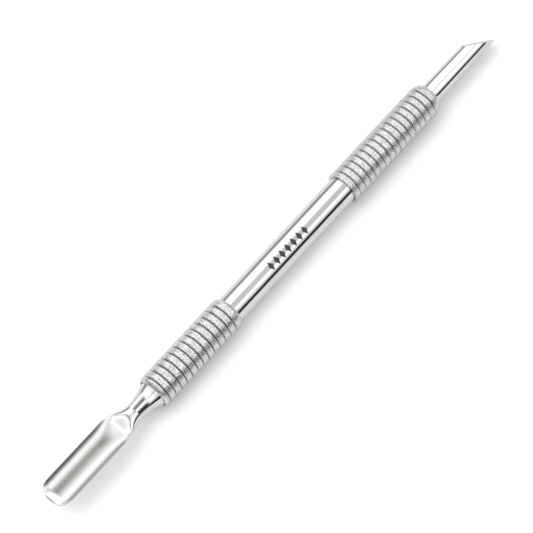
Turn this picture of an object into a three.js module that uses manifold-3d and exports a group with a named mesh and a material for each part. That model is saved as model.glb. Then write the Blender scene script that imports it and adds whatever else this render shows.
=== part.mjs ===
// Double-ended cuticle pusher in polished stainless steel, in millimetres.
// The tool lies along +X: spoon pusher at -X, slant-cut scraper point at +X, +Z up.
// z = 0 is the lowest facet of the two grip sleeves, on which the tool lies.
import * as THREE from 'three';
import Module from 'manifold-3d';
import { mergeVertices } from 'three/addons/utils/BufferGeometryUtils.js';

// Driving dimensions
const OVERALL_LENGTH = 130;
const GRIP_RADIUS = 3.55;
const RING_PITCH = 1.56;
const GROOVE_DEPTH = 0.32;
const GROOVE_HALF_WIDTH = 0.24;
const TUBE_RADIUS = 2.95;
const TUBE_BORE_RADIUS = 2.35;
const TANG_RADIUS = 1.5;
const SLIDE_GAP = 0.05;
const END_GAP = 0.05;
const SIDES = 24;

// Stations along the tool, measured from its middle
const SPOON_TIP_X = -OVERALL_LENGTH / 2;
const SCRAPER_TIP_X = OVERALL_LENGTH / 2;
const SPOON_SLEEVE = {
  start: -37, end: -15.1, firstGroove: -35.78, grooves: 13,
  startChamfer: [0.75, 0.6], endChamfer: [0.6, 0.45],
};
const SCRAPER_SLEEVE = {
  start: 18.7, end: 45.4, firstGroove: 20.05, grooves: 16,
  startChamfer: [0.05, 0.05], endChamfer: [1.2, 0.5],
};
const TUBE_INSET = 1;
const TANG_LENGTH = 10;
const BUSH_LENGTH = 8;
const BUSH_INSET = 0.6;

// Spoon blade and neck
const BLADE_HALF_WIDTH = 3.18;
const NECK_RADIUS = 1.87;
const NECK_MOUTH_RADIUS = 2.85;
const NECK_WAIST_X = -42;
const NECK_LIFT = 0.4;
const NECK_STEP = 1;
const BLADE_FULL_X = -48.5;
const BOWL_APEX_X = -43.7;
const BLADE_SOLID_X = -46.5;
const RIM_WIDTH = 0.34;
const RIM_HEIGHT_AT_APEX = 2.1;
const RIM_HEIGHT_AT_TIP = 2.3;
const BOWL_DEPTH = 0.9;
const BOWL_ROUNDNESS = 0.81;
const BOWL_EDGE_POWER = 7;
const BOWL_END_CURVE = 1.6;
const TIP_DEPTH_SHARE = 0.12;
const TIP_RAMP = 2;
const BOWL_RAMP = 8;
const BLADE_WALL = 0.5;
const TIP_WALL = 0.15;
const RIM_WALL = 0.35;
const TIP_CORNER_LENGTH = 3;
const TIP_CORNER_POWER = 2.3;

// Cross-sections of the blade: offsets from the tip, then stations up to the waist
const TIP_OFFSETS = [0.03, 0.15, 0.4, 0.8, 1.3, 1.9, 2.6, 5, 9, 13, 16];
const SHOULDER_STATIONS = [
  -47.8, -47, -46.2, -45.5, -44.9, -44.4, -44, -43.75, -43.4, -42.9, NECK_WAIST_X,
];

// Scraper rod
const ROD_RADIUS_AT_SLEEVE = 2.25;
const ROD_RADIUS_AT_POINT = 2.1;
const ROD_COLLAR_RADIUS = 2.9;
const COLLAR_INSET = 0.3;
const FILLET_START = 0.1;
const FILLET_END = 0.9;
const FILLET_RISE = 0.35;
const ROD_OVERRUN = 1;
const CUT_START_X = 58.05;
const CUT_ROLL = THREE.MathUtils.degToRad(42);
const CUTTER_LENGTH = 30;
const CUTTER_HEIGHT = 10;
const CUTTER_WIDTH = 20;

const wasm = await Module();
wasm.setup();

const STEEL = new THREE.Color(0.78, 0.78, 0.77);
const steel = (roughness) => new THREE.MeshStandardMaterial({
  color: STEEL, metalness: 1, roughness,
});

const clamp01 = (value) => Math.min(1, Math.max(0, value));
const smooth = (value) => {
  const t = clamp01(value);
  return t * t * (3 - 2 * t);
};
const mix = (a, b, t) => a + (b - a) * t;

// Vertices of a facet with its middle on +Z are half a step away from it
const CIRCUMSCRIBE = 1 / Math.cos(Math.PI / SIDES);

// A solid of revolution about X from [x, radius] points that close on themselves,
// with its facets touching the stated radius.
function turned(outline) {
  const points = [...outline, outline[0]].map(([x, radius]) => (
    new THREE.Vector2(radius * CIRCUMSCRIBE, x)));
  const geometry = new THREE.LatheGeometry(points, SIDES, Math.PI / SIDES);
  return geometry.rotateZ(-Math.PI / 2);
}

// A closed solid through rings of equal point count, capped at both ends
function lofted(rings) {
  const count = rings[0].length;
  const positions = rings.flat().flatMap((point) => [point.x, point.y, point.z]);
  const indices = [];
  for (let ring = 0; ring < rings.length - 1; ring += 1) {
    for (let side = 0; side < count; side += 1) {
      const a = ring * count + side;
      const b = ring * count + ((side + 1) % count);
      indices.push(a, b, a + count, b, b + count, a + count);
    }
  }
  const last = (rings.length - 1) * count;
  for (let low = 0, high = count - 1; high - low > 1;) {
    const next = (high - low) % 2 === (count - 1) % 2 ? low + 1 : high - 1;
    indices.push(low, high, next);
    indices.push(last + high, last + low, last + next);
    if (next === low + 1) low = next;
    else high = next;
  }
  const geometry = new THREE.BufferGeometry();
  geometry.setAttribute('position', new THREE.Float32BufferAttribute(positions, 3));
  geometry.setIndex(indices);
  return geometry;
}

function toSolid(geometry) {
  const bare = geometry.clone();
  bare.deleteAttribute('normal');
  bare.deleteAttribute('uv');
  const merged = mergeVertices(bare, 1e-4);
  return new wasm.Manifold(new wasm.Mesh({
    numProp: 3,
    vertProperties: new Float32Array(merged.attributes.position.array),
    triVerts: new Uint32Array(merged.index.array),
  }));
}

function toGeometry(solid) {
  const mesh = solid.getMesh();
  const geometry = new THREE.BufferGeometry();
  geometry.setAttribute('position', new THREE.Float32BufferAttribute(mesh.vertProperties, 3));
  geometry.setIndex([...mesh.triVerts]);
  return geometry;
}

// Ringed grip sleeve: a bored tube with V grooves and a chamfer at each end
function sleeveGeometry({ start, end, firstGroove, grooves, startChamfer, endChamfer }) {
  const bore = TUBE_RADIUS + SLIDE_GAP;
  const outline = [
    [start, bore],
    [start, GRIP_RADIUS - startChamfer[1]],
    [start + startChamfer[0], GRIP_RADIUS],
  ];
  for (let ring = 0; ring < grooves; ring += 1) {
    const x = firstGroove + ring * RING_PITCH;
    outline.push([x - GROOVE_HALF_WIDTH, GRIP_RADIUS]);
    outline.push([x, GRIP_RADIUS - GROOVE_DEPTH]);
    outline.push([x + GROOVE_HALF_WIDTH, GRIP_RADIUS]);
  }
  outline.push([end - endChamfer[0], GRIP_RADIUS]);
  outline.push([end, GRIP_RADIUS - endChamfer[1]]);
  outline.push([end, bore]);
  return turned(outline);
}

// Plain ring, used for the handle tube and for the two bushes that centre the tangs
function ringGeometry(start, end, outer, inner) {
  return turned([[start, inner], [start, outer], [end, outer], [end, inner]]);
}

const tubeStart = SPOON_SLEEVE.start + TUBE_INSET;
const tubeEnd = SCRAPER_SLEEVE.end - TUBE_INSET;

// A ring of points about the axis, raised by the lift, with its facets at the radius
function circleRing(x, radius, lift = 0) {
  const ring = [];
  for (let side = 0; side < SIDES; side += 1) {
    const angle = ((side + 0.5) / SIDES) * 2 * Math.PI;
    const reach = radius * CIRCUMSCRIBE;
    ring.push(new THREE.Vector3(x, reach * Math.cos(angle), lift + reach * Math.sin(angle)));
  }
  return ring;
}

// Half of the plan width, from the rounded tip to the neck's waist and mouth
function halfWidth(x) {
  if (x > NECK_WAIST_X) {
    const flare = clamp01((x - NECK_WAIST_X) / (SPOON_SLEEVE.start - NECK_WAIST_X));
    return mix(NECK_RADIUS, NECK_MOUTH_RADIUS, flare * flare);
  }
  const shoulder = smooth((x - BLADE_FULL_X) / (NECK_WAIST_X - BLADE_FULL_X));
  const fromEnd = clamp01((x - SPOON_TIP_X) / TIP_CORNER_LENGTH);
  const corner = (1 - (1 - fromEnd) ** TIP_CORNER_POWER) ** (1 / TIP_CORNER_POWER);
  return mix(BLADE_HALF_WIDTH, NECK_RADIUS, shoulder) * corner;
}

// The neck's middle line rises a little above the tool's axis towards the blade
function neckLift(x) {
  return NECK_LIFT * smooth((SPOON_SLEEVE.start - x) / (SPOON_SLEEVE.start - NECK_WAIST_X));
}

// One closed cross-section of the blade, blending into the round neck
function bladeRing(x) {
  const width = halfWidth(x);
  const along = clamp01((BOWL_APEX_X - x) / (BOWL_APEX_X - SPOON_TIP_X));
  const rim = mix(RIM_HEIGHT_AT_APEX, RIM_HEIGHT_AT_TIP, along);
  const beyond = Math.max(0, BOWL_APEX_X - x);
  const bowl = Math.min(BLADE_HALF_WIDTH - RIM_WIDTH, BOWL_END_CURVE * Math.sqrt(beyond));
  const behindTip = Math.sqrt(1 - (1 - clamp01((x - SPOON_TIP_X) / TIP_RAMP)) ** 2);
  const fullDepth = BOWL_DEPTH * mix(TIP_DEPTH_SHARE, 1, behindTip);
  const depth = fullDepth * Math.sin(clamp01(beyond / BOWL_RAMP) * Math.PI / 2);
  const wall = mix(TIP_WALL, BLADE_WALL, behindTip);
  const bladeness = smooth((NECK_WAIST_X - x) / (NECK_WAIST_X - BLADE_SOLID_X));
  return circleRing(x, width / CIRCUMSCRIBE, neckLift(x)).map((point) => {
    const y = point.y;
    const across = bowl > 0 ? Math.abs(y) / bowl : 2;
    const rise = BOWL_ROUNDNESS * across ** 2 + (1 - BOWL_ROUNDNESS) * across ** BOWL_EDGE_POWER;
    const dip = across < 1 ? depth * (1 - rise) : 0;
    const side = Math.min(1, Math.abs(y) / BLADE_HALF_WIDTH);
    const under = rim - RIM_WALL * side - (fullDepth + wall) * (1 - side * side);
    const top = rim - dip;
    const bladeZ = point.z > neckLift(x) ? top : Math.min(under, top - TIP_WALL);
    return new THREE.Vector3(x, y, mix(point.z, bladeZ, bladeness));
  });
}

// Blade, bowl, neck, shoulder in the sleeve's mouth and the tang behind it
function spoonGeometry() {
  const stations = [...TIP_OFFSETS.map((offset) => SPOON_TIP_X + offset), ...SHOULDER_STATIONS];
  const rings = stations.map(bladeRing);
  for (let x = NECK_WAIST_X + NECK_STEP; x < SPOON_SLEEVE.start; x += NECK_STEP) {
    rings.push(circleRing(x, halfWidth(x), neckLift(x)));
  }
  const shoulder = tubeStart - END_GAP;
  rings.push(circleRing(SPOON_SLEEVE.start, NECK_MOUTH_RADIUS));
  rings.push(circleRing(shoulder, NECK_MOUTH_RADIUS));
  rings.push(circleRing(shoulder, TANG_RADIUS));
  rings.push(circleRing(shoulder + TANG_LENGTH, TANG_RADIUS));
  return lofted(rings);
}

// Tang, collar, tapering rod and the slanted cut that makes the point
function scraperGeometry() {
  const shoulder = tubeEnd + END_GAP;
  const mouth = SCRAPER_SLEEVE.end;
  const rod = turned([
    [shoulder - TANG_LENGTH, 0],
    [shoulder - TANG_LENGTH, TANG_RADIUS],
    [shoulder, TANG_RADIUS],
    [shoulder, ROD_COLLAR_RADIUS],
    [mouth - COLLAR_INSET, ROD_COLLAR_RADIUS],
    [mouth + FILLET_START, ROD_RADIUS_AT_SLEEVE + FILLET_RISE],
    [mouth + FILLET_END, ROD_RADIUS_AT_SLEEVE],
    [SCRAPER_TIP_X + ROD_OVERRUN, ROD_RADIUS_AT_POINT],
    [SCRAPER_TIP_X + ROD_OVERRUN, 0],
  ]);
  const cutLength = SCRAPER_TIP_X - CUT_START_X;
  const slant = Math.atan2(2 * ROD_RADIUS_AT_POINT, cutLength);
  const cutter = new THREE.BoxGeometry(CUTTER_LENGTH, CUTTER_HEIGHT, CUTTER_WIDTH);
  cutter.translate(0, CUTTER_HEIGHT / 2, 0);
  cutter.rotateZ(-slant);
  cutter.translate((CUT_START_X + SCRAPER_TIP_X) / 2, 0, 0);
  cutter.rotateX(CUT_ROLL);
  return toGeometry(toSolid(rod).subtract(toSolid(cutter)));
}

const tool = new THREE.Group();
tool.position.z = GRIP_RADIUS;

function addPiece(name, geometry, roughness) {
  const mesh = new THREE.Mesh(geometry, steel(roughness));
  mesh.name = name;
  tool.add(mesh);
}

const bushRadius = TUBE_BORE_RADIUS - SLIDE_GAP;
const bushBore = TANG_RADIUS + SLIDE_GAP;
const spoonBushStart = tubeStart + BUSH_INSET;
const scraperBushEnd = tubeEnd - BUSH_INSET;

addPiece('handle_tube', ringGeometry(tubeStart, tubeEnd, TUBE_RADIUS, TUBE_BORE_RADIUS), 0.08);
addPiece('spoon_grip_sleeve', sleeveGeometry(SPOON_SLEEVE), 0.35);
addPiece('scraper_grip_sleeve', sleeveGeometry(SCRAPER_SLEEVE), 0.35);
addPiece('spoon_tip', spoonGeometry(), 0.08);
addPiece('scraper_tip', scraperGeometry(), 0.08);
addPiece(
  'spoon_tang_bush',
  ringGeometry(spoonBushStart, spoonBushStart + BUSH_LENGTH, bushRadius, bushBore),
  0.4,
);
addPiece(
  'scraper_tang_bush',
  ringGeometry(scraperBushEnd - BUSH_LENGTH, scraperBushEnd, bushRadius, bushBore),
  0.4,
);

export default tool;
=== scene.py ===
"""Looks of the double-ended cuticle pusher: polished steel tips and tube, knurled ring grips."""
import math

import bpy
import numpy as np
from mathutils import Matrix, Vector


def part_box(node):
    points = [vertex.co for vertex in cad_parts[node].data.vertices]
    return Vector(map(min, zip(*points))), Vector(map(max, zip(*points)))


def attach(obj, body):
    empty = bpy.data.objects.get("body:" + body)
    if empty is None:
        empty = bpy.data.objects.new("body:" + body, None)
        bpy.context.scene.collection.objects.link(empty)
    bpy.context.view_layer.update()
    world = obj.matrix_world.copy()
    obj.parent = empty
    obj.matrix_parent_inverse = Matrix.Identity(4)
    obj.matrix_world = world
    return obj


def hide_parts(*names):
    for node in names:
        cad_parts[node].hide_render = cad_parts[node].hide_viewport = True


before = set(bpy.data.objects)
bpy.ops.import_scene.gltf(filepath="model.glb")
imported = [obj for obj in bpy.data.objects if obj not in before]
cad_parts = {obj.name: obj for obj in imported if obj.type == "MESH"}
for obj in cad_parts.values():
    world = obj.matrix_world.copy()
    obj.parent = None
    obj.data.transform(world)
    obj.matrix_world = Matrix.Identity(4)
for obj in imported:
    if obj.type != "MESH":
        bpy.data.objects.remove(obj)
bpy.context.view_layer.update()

# ---------------------------------------------------------------- driving dimensions, in metres
MM = 0.001
SIDES = 192
KNURL_SIDES = 288
RING_PITCH = 1.56 * MM
GROOVE_DEPTH = 0.32 * MM
GROOVE_HALF_WIDTH = 0.26 * MM
RIDGE_DEPTH = 0.09 * MM
SLIDE_GAP = 0.05 * MM
END_GAP = 0.05 * MM


def node_box(node):
    return [Vector(corner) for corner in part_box(node)]


spoon_grip_low, spoon_grip_high = node_box("spoon_grip_sleeve")
scraper_grip_high = node_box("scraper_grip_sleeve")[1]
tube_low, tube_high = node_box("handle_tube")
spoon_low, spoon_high = node_box("spoon_tip")
scraper_low, scraper_high = node_box("scraper_tip")

GRIP_RADIUS = (spoon_grip_high.y - spoon_grip_low.y) / 2
TUBE_RADIUS = (tube_high.y - tube_low.y) / 2
AXIS_Z = GRIP_RADIUS
SLEEVE_BORE_RADIUS = TUBE_RADIUS + SLIDE_GAP
TANG_RADIUS = 1.5 * MM
TUBE_BORE_RADIUS = 2.35 * MM
TUBE_RINGS = 41

# Grip sleeves: first groove, number of grooves, and [length, depth] of the end chamfers
SPOON_SLEEVE = {
    "first_groove": -35.78 * MM, "grooves": 13, "ridges": False, "seed": 11,
    "start_chamfer": (0.75 * MM, 0.5 * MM), "end_chamfer": (0.6 * MM, 0.45 * MM),
}
SCRAPER_SLEEVE = {
    "first_groove": 20.05 * MM, "grooves": 16, "ridges": True, "seed": 12,
    "start_chamfer": (0.05 * MM, 0.03 * MM), "end_chamfer": (1.3 * MM, 0.5 * MM),
}
KNURL_EDGE_ANGLE = math.radians(60)
STEPS_PER_RING = 20
CHAMFER_CURVE = 1.3
KNURLS_ROUND = 60
DIAMOND_DEPTH = 0.02 * MM
GRAIN_DEPTH = 0.012 * MM
GRAIN_LOST_IN_GROOVE = 0.6
BAND_REACH = 0.6 * RING_PITCH

# Spoon blade and neck, as in the CAD part
SPOON_TIP_X = spoon_low.x
MOUTH_X = spoon_grip_low.x
BLADE_HALF_WIDTH = 3.18 * MM
NECK_RADIUS = 1.87 * MM
NECK_MOUTH_RADIUS = 2.85 * MM
NECK_WAIST_X = -42 * MM
BLADE_FULL_X = -48.5 * MM
BOWL_APEX_X = -43.7 * MM
BLADE_SOLID_X = -46.5 * MM
RIM_WIDTH = 0.34 * MM
RIM_HEIGHT_AT_APEX = 2.1 * MM
RIM_HEIGHT_AT_TIP = 2.3 * MM
BOWL_DEPTH = 0.9 * MM
BOWL_ROUNDNESS = 0.81
TIP_DEPTH_SHARE = 0.12
TIP_RAMP = 2 * MM
BOWL_RAMP = 8 * MM
BLADE_WALL = 0.5 * MM
TIP_WALL = 0.15 * MM
RIM_WALL = 0.35 * MM
TIP_CORNER_LENGTH = 3 * MM
TIP_CORNER_POWER = 2.3
RIM_ROUNDING = 0.2 * MM
NECK_LIFT = 0.4 * MM
BOWL_EDGE_POWER = 7
BOWL_END_CURVE = 1.6
APEX_MARGIN = 0.05 * MM
APEX_DETAIL = 0.5 * MM
CROWN_AT_APEX = 0.12 * MM
CROWN_SHARE = 0.8
CROWN_RAMP = 1.5 * MM
EDGE_ANGLE = math.radians(32)
LARGEST_BOWL_SHARE = 0.97
FIRST_TIP_ANGLE = 0.06

# Points round a cross-section of the blade, and numbers of cross-sections along it
LAND_POINTS = 8
TROUGH_POINTS = 57
UNDER_POINTS = 65
TIP_SECTIONS = 40
BLADE_SECTIONS = 40
SHOULDER_SECTIONS = 70
APEX_SECTIONS = 26
NECK_SECTIONS = 70

# Scraper rod
ROD_RADIUS_AT_SLEEVE = 2.25 * MM
ROD_RADIUS_AT_POINT = 2.1 * MM
ROD_COLLAR_RADIUS = 2.88 * MM
COLLAR_INSET = 0.3 * MM
FILLET_START = 0.1 * MM
FILLET_LENGTH = 1.0 * MM
FILLET_RISE = 0.42 * MM
FILLET_STEPS = 12
ROD_STEPS = 40
ROD_TAPER_RATE = 1.4
TANG_END_RADIUS = 0.02 * MM
CUT_EDGE_ANGLE = math.radians(25)
CUT_START_X = 58.05 * MM
CUT_ROLL = math.radians(42)

# Generic mark in the middle of the tube: a row of lozenges
MARK_COUNT = 7
MARK_CENTRE_X = 1.1 * MM
MARK_PITCH = 1.65 * MM
MARK_LENGTH = 1.15 * MM
MARK_HEIGHT = 2.0 * MM
MARK_TURN = math.radians(-17)
MARK_PROUD = 0.006 * MM
MARK_STRIPS = 12
MARK_POINT_SHARE = 0.97

# View: direction from the object to the camera, and its distance and lens
TO_CAMERA = Vector((-0.334, -0.279, 0.900)).normalized()
CAMERA_DISTANCE = 0.421
CAMERA_LENS = 150
CAMERA_TARGET = Vector((-3.55 * MM, 0.0, AXIS_Z))
TARGET_SHIFT_RIGHT = -0.42 * MM
TARGET_SHIFT_UP = 0.42 * MM


# ---------------------------------------------------------------- small helpers
def clamp01(value):
    return np.clip(value, 0.0, 1.0)


def smooth(value):
    t = clamp01(value)
    return t * t * (3 - 2 * t)


def mix(a, b, t):
    return a + (b - a) * t


def grid_faces(rings, count):
    """Quads joining rings of points that close on themselves."""
    faces = []
    for ring in range(rings - 1):
        row = ring * count
        for side in range(count):
            after = (side + 1) % count
            faces.append((row + side, row + after, row + count + after, row + count + side))
    return faces


def make_piece(name, points, faces, material, edge_angle=EDGE_ANGLE):
    mesh = bpy.data.meshes.new(name)
    mesh.from_pydata([tuple(point) for point in points], [], faces)
    mesh.update()
    mesh.polygons.foreach_set("use_smooth", [True] * len(mesh.polygons))
    if edge_angle:
        mesh.set_sharp_from_angle(angle=edge_angle)
    piece = bpy.data.objects.new(name, mesh)
    bpy.context.scene.collection.objects.link(piece)
    mesh.materials.append(material)
    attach(piece, "root")
    return piece


def angles_round(sides):
    return (np.arange(sides) + 0.5) * 2 * math.pi / sides


def on_circle(x, radius, angle):
    return (x, radius * math.cos(angle), AXIS_Z + radius * math.sin(angle))


def closed_grid_faces(rings, sides):
    """Quads of a ring-shaped solid, whose last ring of points joins on to its first."""
    faces = grid_faces(rings, sides)
    last = (rings - 1) * sides
    for side in range(sides):
        after = (side + 1) % sides
        faces.append((last + side, last + after, after, side))
    return faces


def capped_grid_faces(rings, count):
    """Quads of a solid bar, with one many-sided face at each end."""
    faces = grid_faces(rings, count)
    last = (rings - 1) * count
    faces.append(tuple(range(count))[::-1])
    faces.append(tuple(last + side for side in range(count)))
    return faces


def revolve(profile, sides):
    """Points of a closed [x, radius] profile turned about the tool's axis, and their faces."""
    angles = angles_round(sides)
    points = [on_circle(x, radius, angle) for x, radius in profile for angle in angles]
    return points, closed_grid_faces(len(profile), sides)


# ---------------------------------------------------------------- materials
def new_material(name):
    material = bpy.data.materials.new(name)
    material.use_nodes = True
    nodes = material.node_tree.nodes
    shader = nodes["Principled BSDF"]
    shader.inputs["Metallic"].default_value = 1.0
    return material, nodes, material.node_tree.links, shader


def object_coordinates(nodes, links, scale):
    source = nodes.new("ShaderNodeTexCoord")
    mapping = nodes.new("ShaderNodeMapping")
    mapping.inputs["Scale"].default_value = scale
    links.new(source.outputs["Object"], mapping.inputs["Vector"])
    return mapping.outputs["Vector"]


def noise_node(nodes, links, scale, detail):
    """Noise stretched by a scale along each of the tool's axes."""
    noise = nodes.new("ShaderNodeTexNoise")
    noise.inputs["Scale"].default_value = 1.0
    noise.inputs["Detail"].default_value = detail
    links.new(object_coordinates(nodes, links, scale), noise.inputs["Vector"])
    return noise.outputs["Fac"]


def ramp_node(nodes, links, value, stops):
    """Colour ramp whose first two stops are its outermost ones."""
    ramp = nodes.new("ShaderNodeValToRGB")
    elements = ramp.color_ramp.elements
    for position, colour in stops[2:]:
        elements.new(position).color = (*colour, 1)
    for element, (position, colour) in zip((elements[0], elements[-1]), (stops[0], stops[1])):
        element.position = position
        element.color = (*colour, 1)
    links.new(value, ramp.inputs["Fac"])
    return ramp.outputs["Color"]


def map_range(nodes, links, value, from_low, from_high, to_low, to_high):
    node = nodes.new("ShaderNodeMapRange")
    node.inputs["From Min"].default_value = from_low
    node.inputs["From Max"].default_value = from_high
    node.inputs["To Min"].default_value = to_low
    node.inputs["To Max"].default_value = to_high
    links.new(value, node.inputs["Value"])
    return node.outputs["Result"]


def mixed(nodes, links, factor, first, second, blend_type="MIX"):
    """Mix of two colours by a linked factor, or fully blended when the factor is None."""
    blend = nodes.new("ShaderNodeMix")
    blend.data_type = "RGBA"
    blend.blend_type = blend_type
    if factor is None:
        blend.inputs["Factor"].default_value = 1.0
    else:
        links.new(factor, blend.inputs["Factor"])
    links.new(first, blend.inputs["A"])
    links.new(second, blend.inputs["B"])
    return blend.outputs["Result"]


def add_bump(nodes, links, shader, height, strength, distance):
    bump = nodes.new("ShaderNodeBump")
    bump.inputs["Strength"].default_value = strength
    bump.inputs["Distance"].default_value = distance
    links.new(height, bump.inputs["Height"])
    links.new(bump.outputs["Normal"], shader.inputs["Normal"])


def polished_steel(name, gloss_low, gloss_high):
    """Mirror polish: cloudy buffing in colour and roughness, and hairlines along the tool."""
    material, nodes, links, shader = new_material(name)
    clouds = noise_node(nodes, links, (90, 260, 260), 3)
    tone = ramp_node(nodes, links, clouds,
                     [(0.3, (0.555, 0.553, 0.546)), (0.7, (0.61, 0.608, 0.602))])
    links.new(tone, shader.inputs["Base Color"])
    hairs = noise_node(nodes, links, (120, 9000, 9000), 2)
    gloss = map_range(nodes, links, hairs, 0.3, 0.75, gloss_low, gloss_high)
    links.new(gloss, shader.inputs["Roughness"])
    add_bump(nodes, links, shader, hairs, 0.06, 0.00002)
    return material


def groove_painted_shade(nodes, links):
    """Painted shade: darkening towards the bottoms of the grooves, from the depth kept in the mesh.
    """
    depth = nodes.new("ShaderNodeAttribute")
    depth.attribute_name = "groove_depth"
    # Painted shade: the grooves get darker with depth, and the lands keep their full tone
    dark, middle, unshaded = (0.45, 0.45, 0.45), (0.8, 0.8, 0.8), (1, 1, 1)
    stops = [(0.15, unshaded), (1.0, dark), (0.6, middle)]
    return ramp_node(nodes, links, depth.outputs["Fac"], stops)


def knurled_steel():
    """Bright knurl: sparkling grains over the ridges, with painted shade down in the grooves."""
    material, nodes, links, shader = new_material("knurled_steel")
    grains = nodes.new("ShaderNodeTexVoronoi")
    grains.inputs["Scale"].default_value = 1.0
    vector = object_coordinates(nodes, links, (5200, 5200, 5200))
    links.new(vector, grains.inputs["Vector"])
    tone = ramp_node(nodes, links, grains.outputs["Distance"],
                     [(0.0, (0.86, 0.86, 0.85)), (0.75, (0.4, 0.4, 0.395))])
    # The grain tone is multiplied by the painted shade of the grooves
    grain_tone_with_groove_shade = mixed(nodes, links, None, tone, groove_painted_shade(nodes, links), "MULTIPLY")
    links.new(grain_tone_with_groove_shade, shader.inputs["Base Color"])
    patches = noise_node(nodes, links, (1800, 1800, 1800), 4)
    gloss = map_range(nodes, links, patches, 0.3, 0.7, 0.1, 0.24)
    links.new(gloss, shader.inputs["Roughness"])
    add_bump(nodes, links, shader, grains.outputs["Distance"], 0.5, 0.00007)
    return material


def turned_steel():
    """Plain turned rings inside the tube: fine lathe lines round the axis."""
    material, nodes, links, shader = new_material("plain_steel")
    lines = noise_node(nodes, links, (6000, 150, 150), 2)
    tone = ramp_node(nodes, links, lines, [(0.3, (0.5, 0.5, 0.49)), (0.7, (0.66, 0.66, 0.65))])
    links.new(tone, shader.inputs["Base Color"])
    shader.inputs["Roughness"].default_value = 0.38
    add_bump(nodes, links, shader, lines, 0.2, 0.00003)
    return material


def ground_steel():
    """Slant-ground face: fine straight grinding lines across the cut."""
    material, nodes, links, shader = new_material("ground_steel")
    lines = noise_node(nodes, links, (9000, 300, 300), 2)
    tone = ramp_node(nodes, links, lines, [(0.3, (0.2, 0.2, 0.2)), (0.7, (0.34, 0.34, 0.335))])
    links.new(tone, shader.inputs["Base Color"])
    shader.inputs["Roughness"].default_value = 0.24
    add_bump(nodes, links, shader, lines, 0.15, 0.00002)
    return material


def etched_black():
    """Black oxide left by etching: matt, with a faint mottle."""
    material, nodes, links, shader = new_material("etched_black")
    shader.inputs["Metallic"].default_value = 0.0
    mottle = noise_node(nodes, links, (4000, 4000, 4000), 3)
    tone = ramp_node(nodes, links, mottle,
                     [(0.3, (0.012, 0.012, 0.013)), (0.7, (0.035, 0.034, 0.033))])
    links.new(tone, shader.inputs["Base Color"])
    shader.inputs["Roughness"].default_value = 0.55
    add_bump(nodes, links, shader, mottle, 0.15, 0.00002)
    return material


# ---------------------------------------------------------------- spoon end
def half_width(x):
    """Half of the plan width, from the rounded tip to the neck's waist and mouth."""
    if x > NECK_WAIST_X:
        flare = clamp01((x - NECK_WAIST_X) / (MOUTH_X - NECK_WAIST_X))
        return mix(NECK_RADIUS, NECK_MOUTH_RADIUS, flare * flare)
    shoulder = smooth((x - BLADE_FULL_X) / (NECK_WAIST_X - BLADE_FULL_X))
    from_end = clamp01((x - SPOON_TIP_X) / TIP_CORNER_LENGTH)
    corner = (1 - (1 - from_end) ** TIP_CORNER_POWER) ** (1 / TIP_CORNER_POWER)
    return mix(BLADE_HALF_WIDTH, NECK_RADIUS, shoulder) * corner


def bowl_half_width(x, width):
    """Half the bowl's width; beyond its apex, half the crown that stands in for it."""
    beyond = BOWL_APEX_X - x
    full = min(BLADE_HALF_WIDTH - RIM_WIDTH, BOWL_END_CURVE * math.sqrt(max(0.0, beyond) * MM))
    crown = mix(CROWN_AT_APEX, CROWN_SHARE * width, float(smooth(-beyond / CROWN_RAMP)))
    return max(full, crown)


def blade_section(x):
    """Closed cross-section: rim land, bowl, rim land, then the underside back again."""
    width = float(half_width(x))
    bowl = bowl_half_width(x, width)
    inner = min(bowl, width * LARGEST_BOWL_SHARE)
    land_angle = math.acos(inner / width)
    land = width * np.cos(np.linspace(0, land_angle, LAND_POINTS + 1)[:-1])
    trough = inner * np.cos(np.linspace(0, math.pi, TROUGH_POINTS))
    under = -width * np.cos(np.linspace(0, math.pi, UNDER_POINTS))[1:-1]
    top_y = np.concatenate([land, trough, -land[::-1]])

    lift = NECK_LIFT * float(smooth((MOUTH_X - x) / (MOUTH_X - NECK_WAIST_X)))
    along = float(clamp01((BOWL_APEX_X - x) / (BOWL_APEX_X - SPOON_TIP_X)))
    rim = mix(RIM_HEIGHT_AT_APEX, RIM_HEIGHT_AT_TIP, along)
    beyond = max(0.0, BOWL_APEX_X - x)
    behind_tip = math.sqrt(1 - (1 - float(clamp01((x - SPOON_TIP_X) / TIP_RAMP))) ** 2)
    full_depth = BOWL_DEPTH * mix(TIP_DEPTH_SHARE, 1, behind_tip)
    depth = full_depth * math.sin(float(clamp01(beyond / BOWL_RAMP)) * math.pi / 2)
    wall = mix(TIP_WALL, BLADE_WALL, behind_tip)
    bladeness = float(smooth((NECK_WAIST_X - x) / (NECK_WAIST_X - BLADE_SOLID_X)))

    def blade_top(y):
        across = clamp01(np.abs(y) / bowl)
        over = np.clip(np.abs(y) - (width - RIM_ROUNDING), 0, RIM_ROUNDING)
        rounding = RIM_ROUNDING - np.sqrt(RIM_ROUNDING ** 2 - over ** 2)
        rise = BOWL_ROUNDNESS * across ** 2 + (1 - BOWL_ROUNDNESS) * across ** BOWL_EDGE_POWER
        return rim - depth * (1 - rise) - rounding

    def blade_under(y):
        side = clamp01(np.abs(y) / BLADE_HALF_WIDTH)
        low = rim - RIM_WALL * side - (full_depth + wall) * (1 - side * side)
        return np.minimum(low, blade_top(y) - TIP_WALL)

    def round_height(y):
        return np.sqrt(np.maximum(width * width - y * y, 0))

    top_z = mix(lift + round_height(top_y), blade_top(top_y), bladeness)
    under_z = mix(lift - round_height(under), blade_under(under), bladeness)
    all_y = np.concatenate([top_y, under])
    all_z = np.concatenate([top_z, under_z]) + AXIS_Z
    return [(x, y, z) for y, z in zip(all_y, all_z)]


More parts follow.
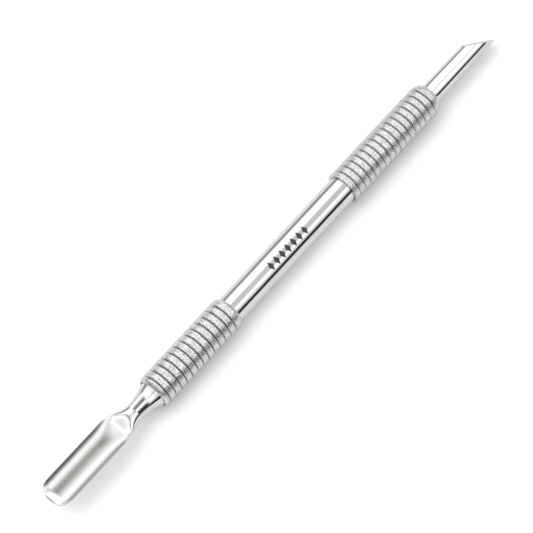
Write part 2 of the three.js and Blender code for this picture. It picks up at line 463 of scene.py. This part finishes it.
def blade_stations():
    """Cross-sections close together at the tip and the bowl's apex, wider apart between."""
    tip_angles = np.linspace(FIRST_TIP_ANGLE, math.pi / 2, TIP_SECTIONS)
    tip = SPOON_TIP_X + TIP_CORNER_LENGTH * (1 - np.cos(tip_angles))
    middle = np.linspace(tip[-1], BLADE_FULL_X, BLADE_SECTIONS)[1:]
    shoulder = np.linspace(BLADE_FULL_X, BOWL_APEX_X - APEX_DETAIL, SHOULDER_SECTIONS)[1:]
    apex = BOWL_APEX_X - APEX_DETAIL * (1 - np.linspace(0, 1, APEX_SECTIONS)[1:]) ** 2
    neck = np.linspace(BOWL_APEX_X, MOUTH_X, NECK_SECTIONS)[1:]
    return np.concatenate([tip, middle, shoulder, apex, neck])


def build_spoon(material, bowl_material):
    """Blade, bowl, neck, shoulder in the sleeve's mouth and tang. The bowl is duller."""
    sections = [blade_section(float(x)) for x in blade_stations()]
    count = len(sections[0])
    mouth = np.array(sections[-1])
    shoulder_x = tube_low.x - END_GAP
    behind_mouth = (
        (shoulder_x, NECK_MOUTH_RADIUS),
        (shoulder_x, TANG_RADIUS),
        (spoon_high.x, TANG_RADIUS),
    )
    for x, radius in behind_mouth:
        ring = mouth.copy()
        ring[:, 0] = x
        ring[:, 1] *= radius / NECK_MOUTH_RADIUS
        ring[:, 2] = AXIS_Z + (ring[:, 2] - AXIS_Z) * radius / NECK_MOUTH_RADIUS
        sections.append([tuple(point) for point in ring])
    points = [point for section in sections for point in section]
    faces = capped_grid_faces(len(sections), count)
    piece = make_piece("spoon_blade_and_neck", points, faces, material)
    piece.data.materials.append(bowl_material)
    for polygon in piece.data.polygons:
        side = polygon.index % count
        in_bowl = LAND_POINTS <= side < LAND_POINTS + TROUGH_POINTS - 1
        if in_bowl and polygon.center.x < BOWL_APEX_X - APEX_MARGIN and len(polygon.vertices) == 4:
            polygon.material_index = 1
    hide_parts("spoon_tip")


# ---------------------------------------------------------------- scraper end
def build_scraper(material, cut_material):
    """Rod of revolution whose far rings lean over to lie on the slanted cut."""
    mouth = scraper_grip_high.x
    shoulder = tube_high.x + END_GAP
    slant = math.atan2(2 * ROD_RADIUS_AT_POINT, scraper_high.x - CUT_START_X)
    middle = (CUT_START_X + scraper_high.x) / 2
    profile = [
        (scraper_low.x, TANG_END_RADIUS),
        (scraper_low.x, TANG_RADIUS),
        (shoulder, TANG_RADIUS),
        (shoulder, ROD_COLLAR_RADIUS),
        (mouth - COLLAR_INSET, ROD_COLLAR_RADIUS),
    ]
    for step in range(FILLET_STEPS + 1):
        turn = step / FILLET_STEPS * math.pi / 2
        x = mouth - FILLET_START + FILLET_LENGTH * (1 - math.cos(turn))
        profile.append((x, ROD_RADIUS_AT_SLEEVE + FILLET_RISE * (1 - math.sin(turn))))
    angles = angles_round(SIDES)
    points = [on_circle(x, radius, angle) for x, radius in profile for angle in angles]
    start_x = profile[-1][0]
    for step in range(1, ROD_STEPS + 1):
        for angle in angles:
            reach = math.cos(angle - CUT_ROLL)
            end_x = middle - ROD_RADIUS_AT_POINT * reach / math.tan(slant)
            x = mix(start_x, end_x, step / ROD_STEPS)
            taper = (x - start_x) / (scraper_high.x - start_x)
            radius = mix(ROD_RADIUS_AT_SLEEVE, ROD_RADIUS_AT_POINT, min(1.0, taper * ROD_TAPER_RATE))
            points.append(on_circle(x, radius, angle))
    faces = capped_grid_faces(len(profile) + ROD_STEPS, SIDES)
    piece = make_piece("scraper_rod", points, faces, material, CUT_EDGE_ANGLE)
    piece.data.materials.append(cut_material)
    piece.data.polygons[-1].material_index = 1
    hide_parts("scraper_tip")


# ---------------------------------------------------------------- handle
def build_tube(material):
    xs = np.linspace(tube_low.x, tube_high.x, TUBE_RINGS)
    profile = [(x, TUBE_RADIUS) for x in xs] + [(x, TUBE_BORE_RADIUS) for x in xs[::-1]]
    points, faces = revolve(profile, SIDES)
    piece = make_piece("polished_tube", points, faces, material)
    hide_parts("handle_tube")


def build_mark(material):
    """A row of plain lozenges lying on the tube, each a fan of thin strips."""
    points, faces = [], []
    facing = math.pi / 2 - MARK_TURN
    radius = TUBE_RADIUS + MARK_PROUD
    for item in range(MARK_COUNT):
        centre = MARK_CENTRE_X + (item - (MARK_COUNT - 1) / 2) * MARK_PITCH
        first = len(points)
        for strip in range(MARK_STRIPS + 1):
            across = mix(-1, 1, strip / MARK_STRIPS)
            reach = MARK_LENGTH / 2 * (1 - abs(across) * MARK_POINT_SHARE)
            angle = facing + across * MARK_HEIGHT / 2 / TUBE_RADIUS
            points.append(on_circle(centre - reach, radius, angle))
            points.append(on_circle(centre + reach, radius, angle))
        for strip in range(MARK_STRIPS):
            low = first + 2 * strip
            faces.append((low, low + 1, low + 3, low + 2))
    make_piece("tube_lozenge_mark", points, faces, material, None)


def ridge_height(offset, ridges):
    """Depth below the grip's full radius at a distance from the nearest groove's middle."""
    groove = GROOVE_DEPTH * (1 - smooth(abs(offset) / GROOVE_HALF_WIDTH))
    if ridges and abs(offset) > GROOVE_HALF_WIDTH:
        wave = (abs(offset) - GROOVE_HALF_WIDTH) / (RING_PITCH / 2 - GROOVE_HALF_WIDTH)
        groove += RIDGE_DEPTH * (1 - math.sin(math.pi * min(1.0, wave)))
    return groove


def diamond_knurl(x, angles):
    """Height from 0 to 1 of two crossing sets of helical grooves."""
    twist = x / (2 * math.pi * GRIP_RADIUS / KNURLS_ROUND)
    one_way = np.abs(np.sin(angles * KNURLS_ROUND / 2 + twist * math.pi))
    return one_way * np.abs(np.sin(angles * KNURLS_ROUND / 2 - twist * math.pi))


def sleeve_ring(x, radius, angles):
    return np.column_stack([
        np.full(len(angles), x), radius * np.cos(angles), AXIS_Z + radius * np.sin(angles)])


def build_sleeve(name, node, sleeve, material):
    """Ringed sleeve with a fine diamond knurl and uneven grains pressed into its bands."""
    low, high = node_box(node)
    random = np.random.default_rng(sleeve["seed"])
    angles = angles_round(KNURL_SIDES)
    count = int(round((high.x - low.x) / (RING_PITCH / STEPS_PER_RING)))
    centres = sleeve["first_groove"] + np.arange(sleeve["grooves"]) * RING_PITCH
    rows, groove_depths = [], []
    for x in np.linspace(low.x, high.x, count + 1):
        offset = float((x - centres)[np.argmin(np.abs(x - centres))])
        near_groove = abs(offset) < BAND_REACH
        drop = float(ridge_height(offset, sleeve["ridges"])) if near_groove else 0.0
        groove_depths.append(min(1.0, drop / GROOVE_DEPTH))
        ends = ((x - low.x, sleeve["start_chamfer"]), (high.x - x, sleeve["end_chamfer"]))
        for edge, (length, depth) in ends:
            if edge < length:
                drop = max(drop, depth * (1 - edge / length) ** CHAMFER_CURVE)
        grains = random.random(KNURL_SIDES)
        on_land = 1 - min(1.0, drop / GROOVE_DEPTH) * GRAIN_LOST_IN_GROOVE
        cut = (DIAMOND_DEPTH * (1 - diamond_knurl(x, angles)) + GRAIN_DEPTH * grains) * on_land
        rows.append(sleeve_ring(x, GRIP_RADIUS - drop - cut, angles))
    for x in (high.x, low.x):
        rows.append(sleeve_ring(x, SLEEVE_BORE_RADIUS, angles))
    faces = closed_grid_faces(len(rows), KNURL_SIDES)
    piece = make_piece(name, np.concatenate(rows), faces, material, KNURL_EDGE_ANGLE)
    # Groove depth per ring, which the knurl material reads to paint shade into the grooves
    depths = np.repeat(groove_depths + [0.0, 0.0], KNURL_SIDES)
    attribute = piece.data.attributes.new("groove_depth", "FLOAT", "POINT")
    attribute.data.foreach_set("value", depths.astype(np.float32))
    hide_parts(node)


# ---------------------------------------------------------------- studio
def build_camera():
    right = Vector((0, 0, 1)).cross(TO_CAMERA).normalized()
    up = TO_CAMERA.cross(right)
    target = CAMERA_TARGET + right * TARGET_SHIFT_RIGHT + up * TARGET_SHIFT_UP
    data = bpy.data.cameras.new("camera")
    data.lens = CAMERA_LENS
    data.sensor_width = 36
    data.clip_start = 0.01
    data.clip_end = 20
    camera = bpy.data.objects.new("camera", data)
    rotation = Matrix((right, up, TO_CAMERA)).transposed().to_4x4()
    camera.matrix_world = Matrix.Translation(target + TO_CAMERA * CAMERA_DISTANCE) @ rotation
    bpy.context.scene.collection.objects.link(camera)
    bpy.context.scene.camera = camera


def build_floor():
    size = 3.0
    mesh = bpy.data.meshes.new("floor")
    corners = [(-size, -size, 0), (size, -size, 0), (size, size, 0), (-size, size, 0)]
    mesh.from_pydata(corners, [], [(0, 1, 2, 3)])
    floor = bpy.data.objects.new("floor", mesh)
    bpy.context.scene.collection.objects.link(floor)
    material = bpy.data.materials.new("floor_white")
    material.use_nodes = True
    shader = material.node_tree.nodes["Principled BSDF"]
    shader.inputs["Base Color"].default_value = (0.9, 0.9, 0.9, 1)
    shader.inputs["Roughness"].default_value = 1.0
    shader.inputs["Specular IOR Level"].default_value = 0.0
    mesh.materials.append(material)


def background_mix(nodes, links, factor, low, high):
    """White of strength low where factor is 0 and of strength high where it is 1."""
    blend = nodes.new("ShaderNodeMix")
    blend.data_type = "RGBA"
    blend.inputs["A"].default_value = (low, low, low, 1)
    blend.inputs["B"].default_value = (high, high, high, 1)
    links.new(factor, blend.inputs["Factor"])
    return blend.outputs["Result"]


def grey(value, warmth=1.0):
    """A grey, or a slightly warm one where the warmth is under 1."""
    return (value, value * (1 + warmth) / 2, value * warmth)


def reach_node(nodes, links, value, reach):
    """Share that rises from 0 to 1 and falls again, at the four values of the reach."""
    stops = [(place, grey(share)) for place, share in zip(reach, (0.0, 1.0, 1.0, 0.0))]
    return ramp_node(nodes, links, value, [stops[0], stops[-1], *stops[1:-1]])


def strip_stops(strips):
    """Ramp stops, outermost two first, from angles in degrees round the tool's axis."""
    stops = [(angle / 180, colour) for angle, colour in strips]
    return [stops[0], stops[-1], *stops[1:-1]]


# Brightness of the strip lights by angle round the tool: 0 is the horizon at the far side
HORIZON_STRIPS = [(0, grey(0.5)), (23, grey(0.5)), (34, grey(1.9))]
NEAR_SIDE_STRIPS = [
    (138, grey(1.9)), (145, grey(1.15)), (153, grey(1.0)), (160, grey(0.02)),
    (172, grey(0.02)), (180, grey(0.5)),
]
STRIPS_OVER_TIPS = [
    *HORIZON_STRIPS,
    (96, grey(1.9)), (100, grey(1.15)), (106, grey(1.15)), (111, grey(1.9)),
    *NEAR_SIDE_STRIPS,
]
STRIPS_OVER_TUBE = [
    *HORIZON_STRIPS,
    (77, grey(1.9)), (87, grey(0.95, 0.95)), (116, grey(0.94, 0.94)), (124, grey(1.9)),
    *NEAR_SIDE_STRIPS,
]
STRIPS_OVER_SPOON = [
    (0, grey(0.6)), (9, grey(0.9)), (18, grey(1.4)), (31, grey(1.9)), (41, grey(1.85)),
    (50, grey(1.5, 0.98)), (57, grey(1.1, 0.97)), (65, grey(0.72, 0.95)), (73, grey(0.4, 0.94)),
    (79, grey(0.26, 0.93)), (85, grey(0.33, 0.93)), (91, grey(0.6, 0.94)), (97, grey(1.0, 0.96)),
    (101, grey(1.7)), (118, grey(1.8)), (127, grey(0.8)), (136, grey(0.15)), (143, grey(0.02)),
    (158, grey(0.02)), (180, grey(0.5)),
]
# Where the spoon's and the tube's strips lie from end to end: 0 is towards -X, 1 towards +X
SPOON_REACH = (0.5, 0.55, 0.6425, 0.6525)
TUBE_REACH = (0.645, 0.6525, 0.695, 0.71)
# The studio gets darker towards both ends of the tool; the outermost stops come first
END_SHADES = [
    (0.0, grey(0.2)), (1.0, grey(0.25)),
    (0.25, grey(0.6)), (0.42, grey(1.0)), (0.88, grey(1.0)), (0.95, grey(0.7)),
]


def build_world():
    """Soft white studio. Glossy rays see long strip softboxes that run along the tool."""
    world = bpy.data.worlds.new("studio")
    bpy.context.scene.world = world
    world.use_nodes = True
    nodes, links = world.node_tree.nodes, world.node_tree.links
    background = nodes["Background"]
    coordinates = nodes.new("ShaderNodeTexCoord")
    split = nodes.new("ShaderNodeSeparateXYZ")
    links.new(coordinates.outputs["Generated"], split.inputs["Vector"])
    angle = nodes.new("ShaderNodeMath")
    angle.operation = "ARCTAN2"
    links.new(split.outputs["Z"], angle.inputs[0])
    links.new(split.outputs["Y"], angle.inputs[1])
    turn = map_range(nodes, links, angle.outputs[0], 0, math.pi, 0, 1)
    lengthwise = map_range(nodes, links, split.outputs["X"], -1, 1, 0, 1)

    tip_colour, tube_colour, spoon_colour = [
        ramp_node(nodes, links, turn, strip_stops(strips))
        for strips in (STRIPS_OVER_TIPS, STRIPS_OVER_TUBE, STRIPS_OVER_SPOON)]
    over_tube = reach_node(nodes, links, lengthwise, TUBE_REACH)
    over_spoon = reach_node(nodes, links, lengthwise, SPOON_REACH)
    near_tube = mixed(nodes, links, over_tube, tip_colour, tube_colour)
    strip_colour = mixed(nodes, links, over_spoon, near_tube, spoon_colour)
    end_shade = ramp_node(nodes, links, lengthwise, END_SHADES)
    shaded = mixed(nodes, links, None, strip_colour, end_shade, "MULTIPLY")
    path = nodes.new("ShaderNodeLightPath")
    seen = background_mix(nodes, links, path.outputs["Is Camera Ray"], 1.05, 1.0)
    colour = mixed(nodes, links, path.outputs["Is Glossy Ray"], seen, shaded)
    links.new(colour, background.inputs["Color"])
    background.inputs["Strength"].default_value = 1.0


def area_light(name, place, size, power, aim):
    data = bpy.data.lights.new(name, "AREA")
    data.shape = "RECTANGLE"
    data.size, data.size_y = size
    data.energy = power
    light = bpy.data.objects.new(name, data)
    direction = Vector(aim) - Vector(place)
    light.rotation_euler = direction.to_track_quat("-Z", "Y").to_euler()
    light.location = place
    light.visible_glossy = False
    bpy.context.scene.collection.objects.link(light)


steel = polished_steel("polished_steel", 0.045, 0.11)
bowl_steel = polished_steel("bowl_steel", 0.17, 0.22)
knurl = knurled_steel()
turned = turned_steel()
black = etched_black()

build_camera()
build_spoon(steel, bowl_steel)
build_scraper(steel, ground_steel())
build_tube(steel)
build_mark(black)
build_sleeve("spoon_grip_rings", "spoon_grip_sleeve", SPOON_SLEEVE, knurl)
build_sleeve("scraper_grip_rings", "scraper_grip_sleeve", SCRAPER_SLEEVE, knurl)
for bush in ("spoon_tang_bush", "scraper_tang_bush"):
    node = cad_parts[bush]
    node.data.materials.clear()
    node.data.materials.append(turned)

build_floor()
build_world()
area_light("key", (-0.2, 0.3, 0.6), (0.6, 0.6), 2.4, (0, 0, 0))
bpy.context.scene.view_settings.view_transform = "Standard"
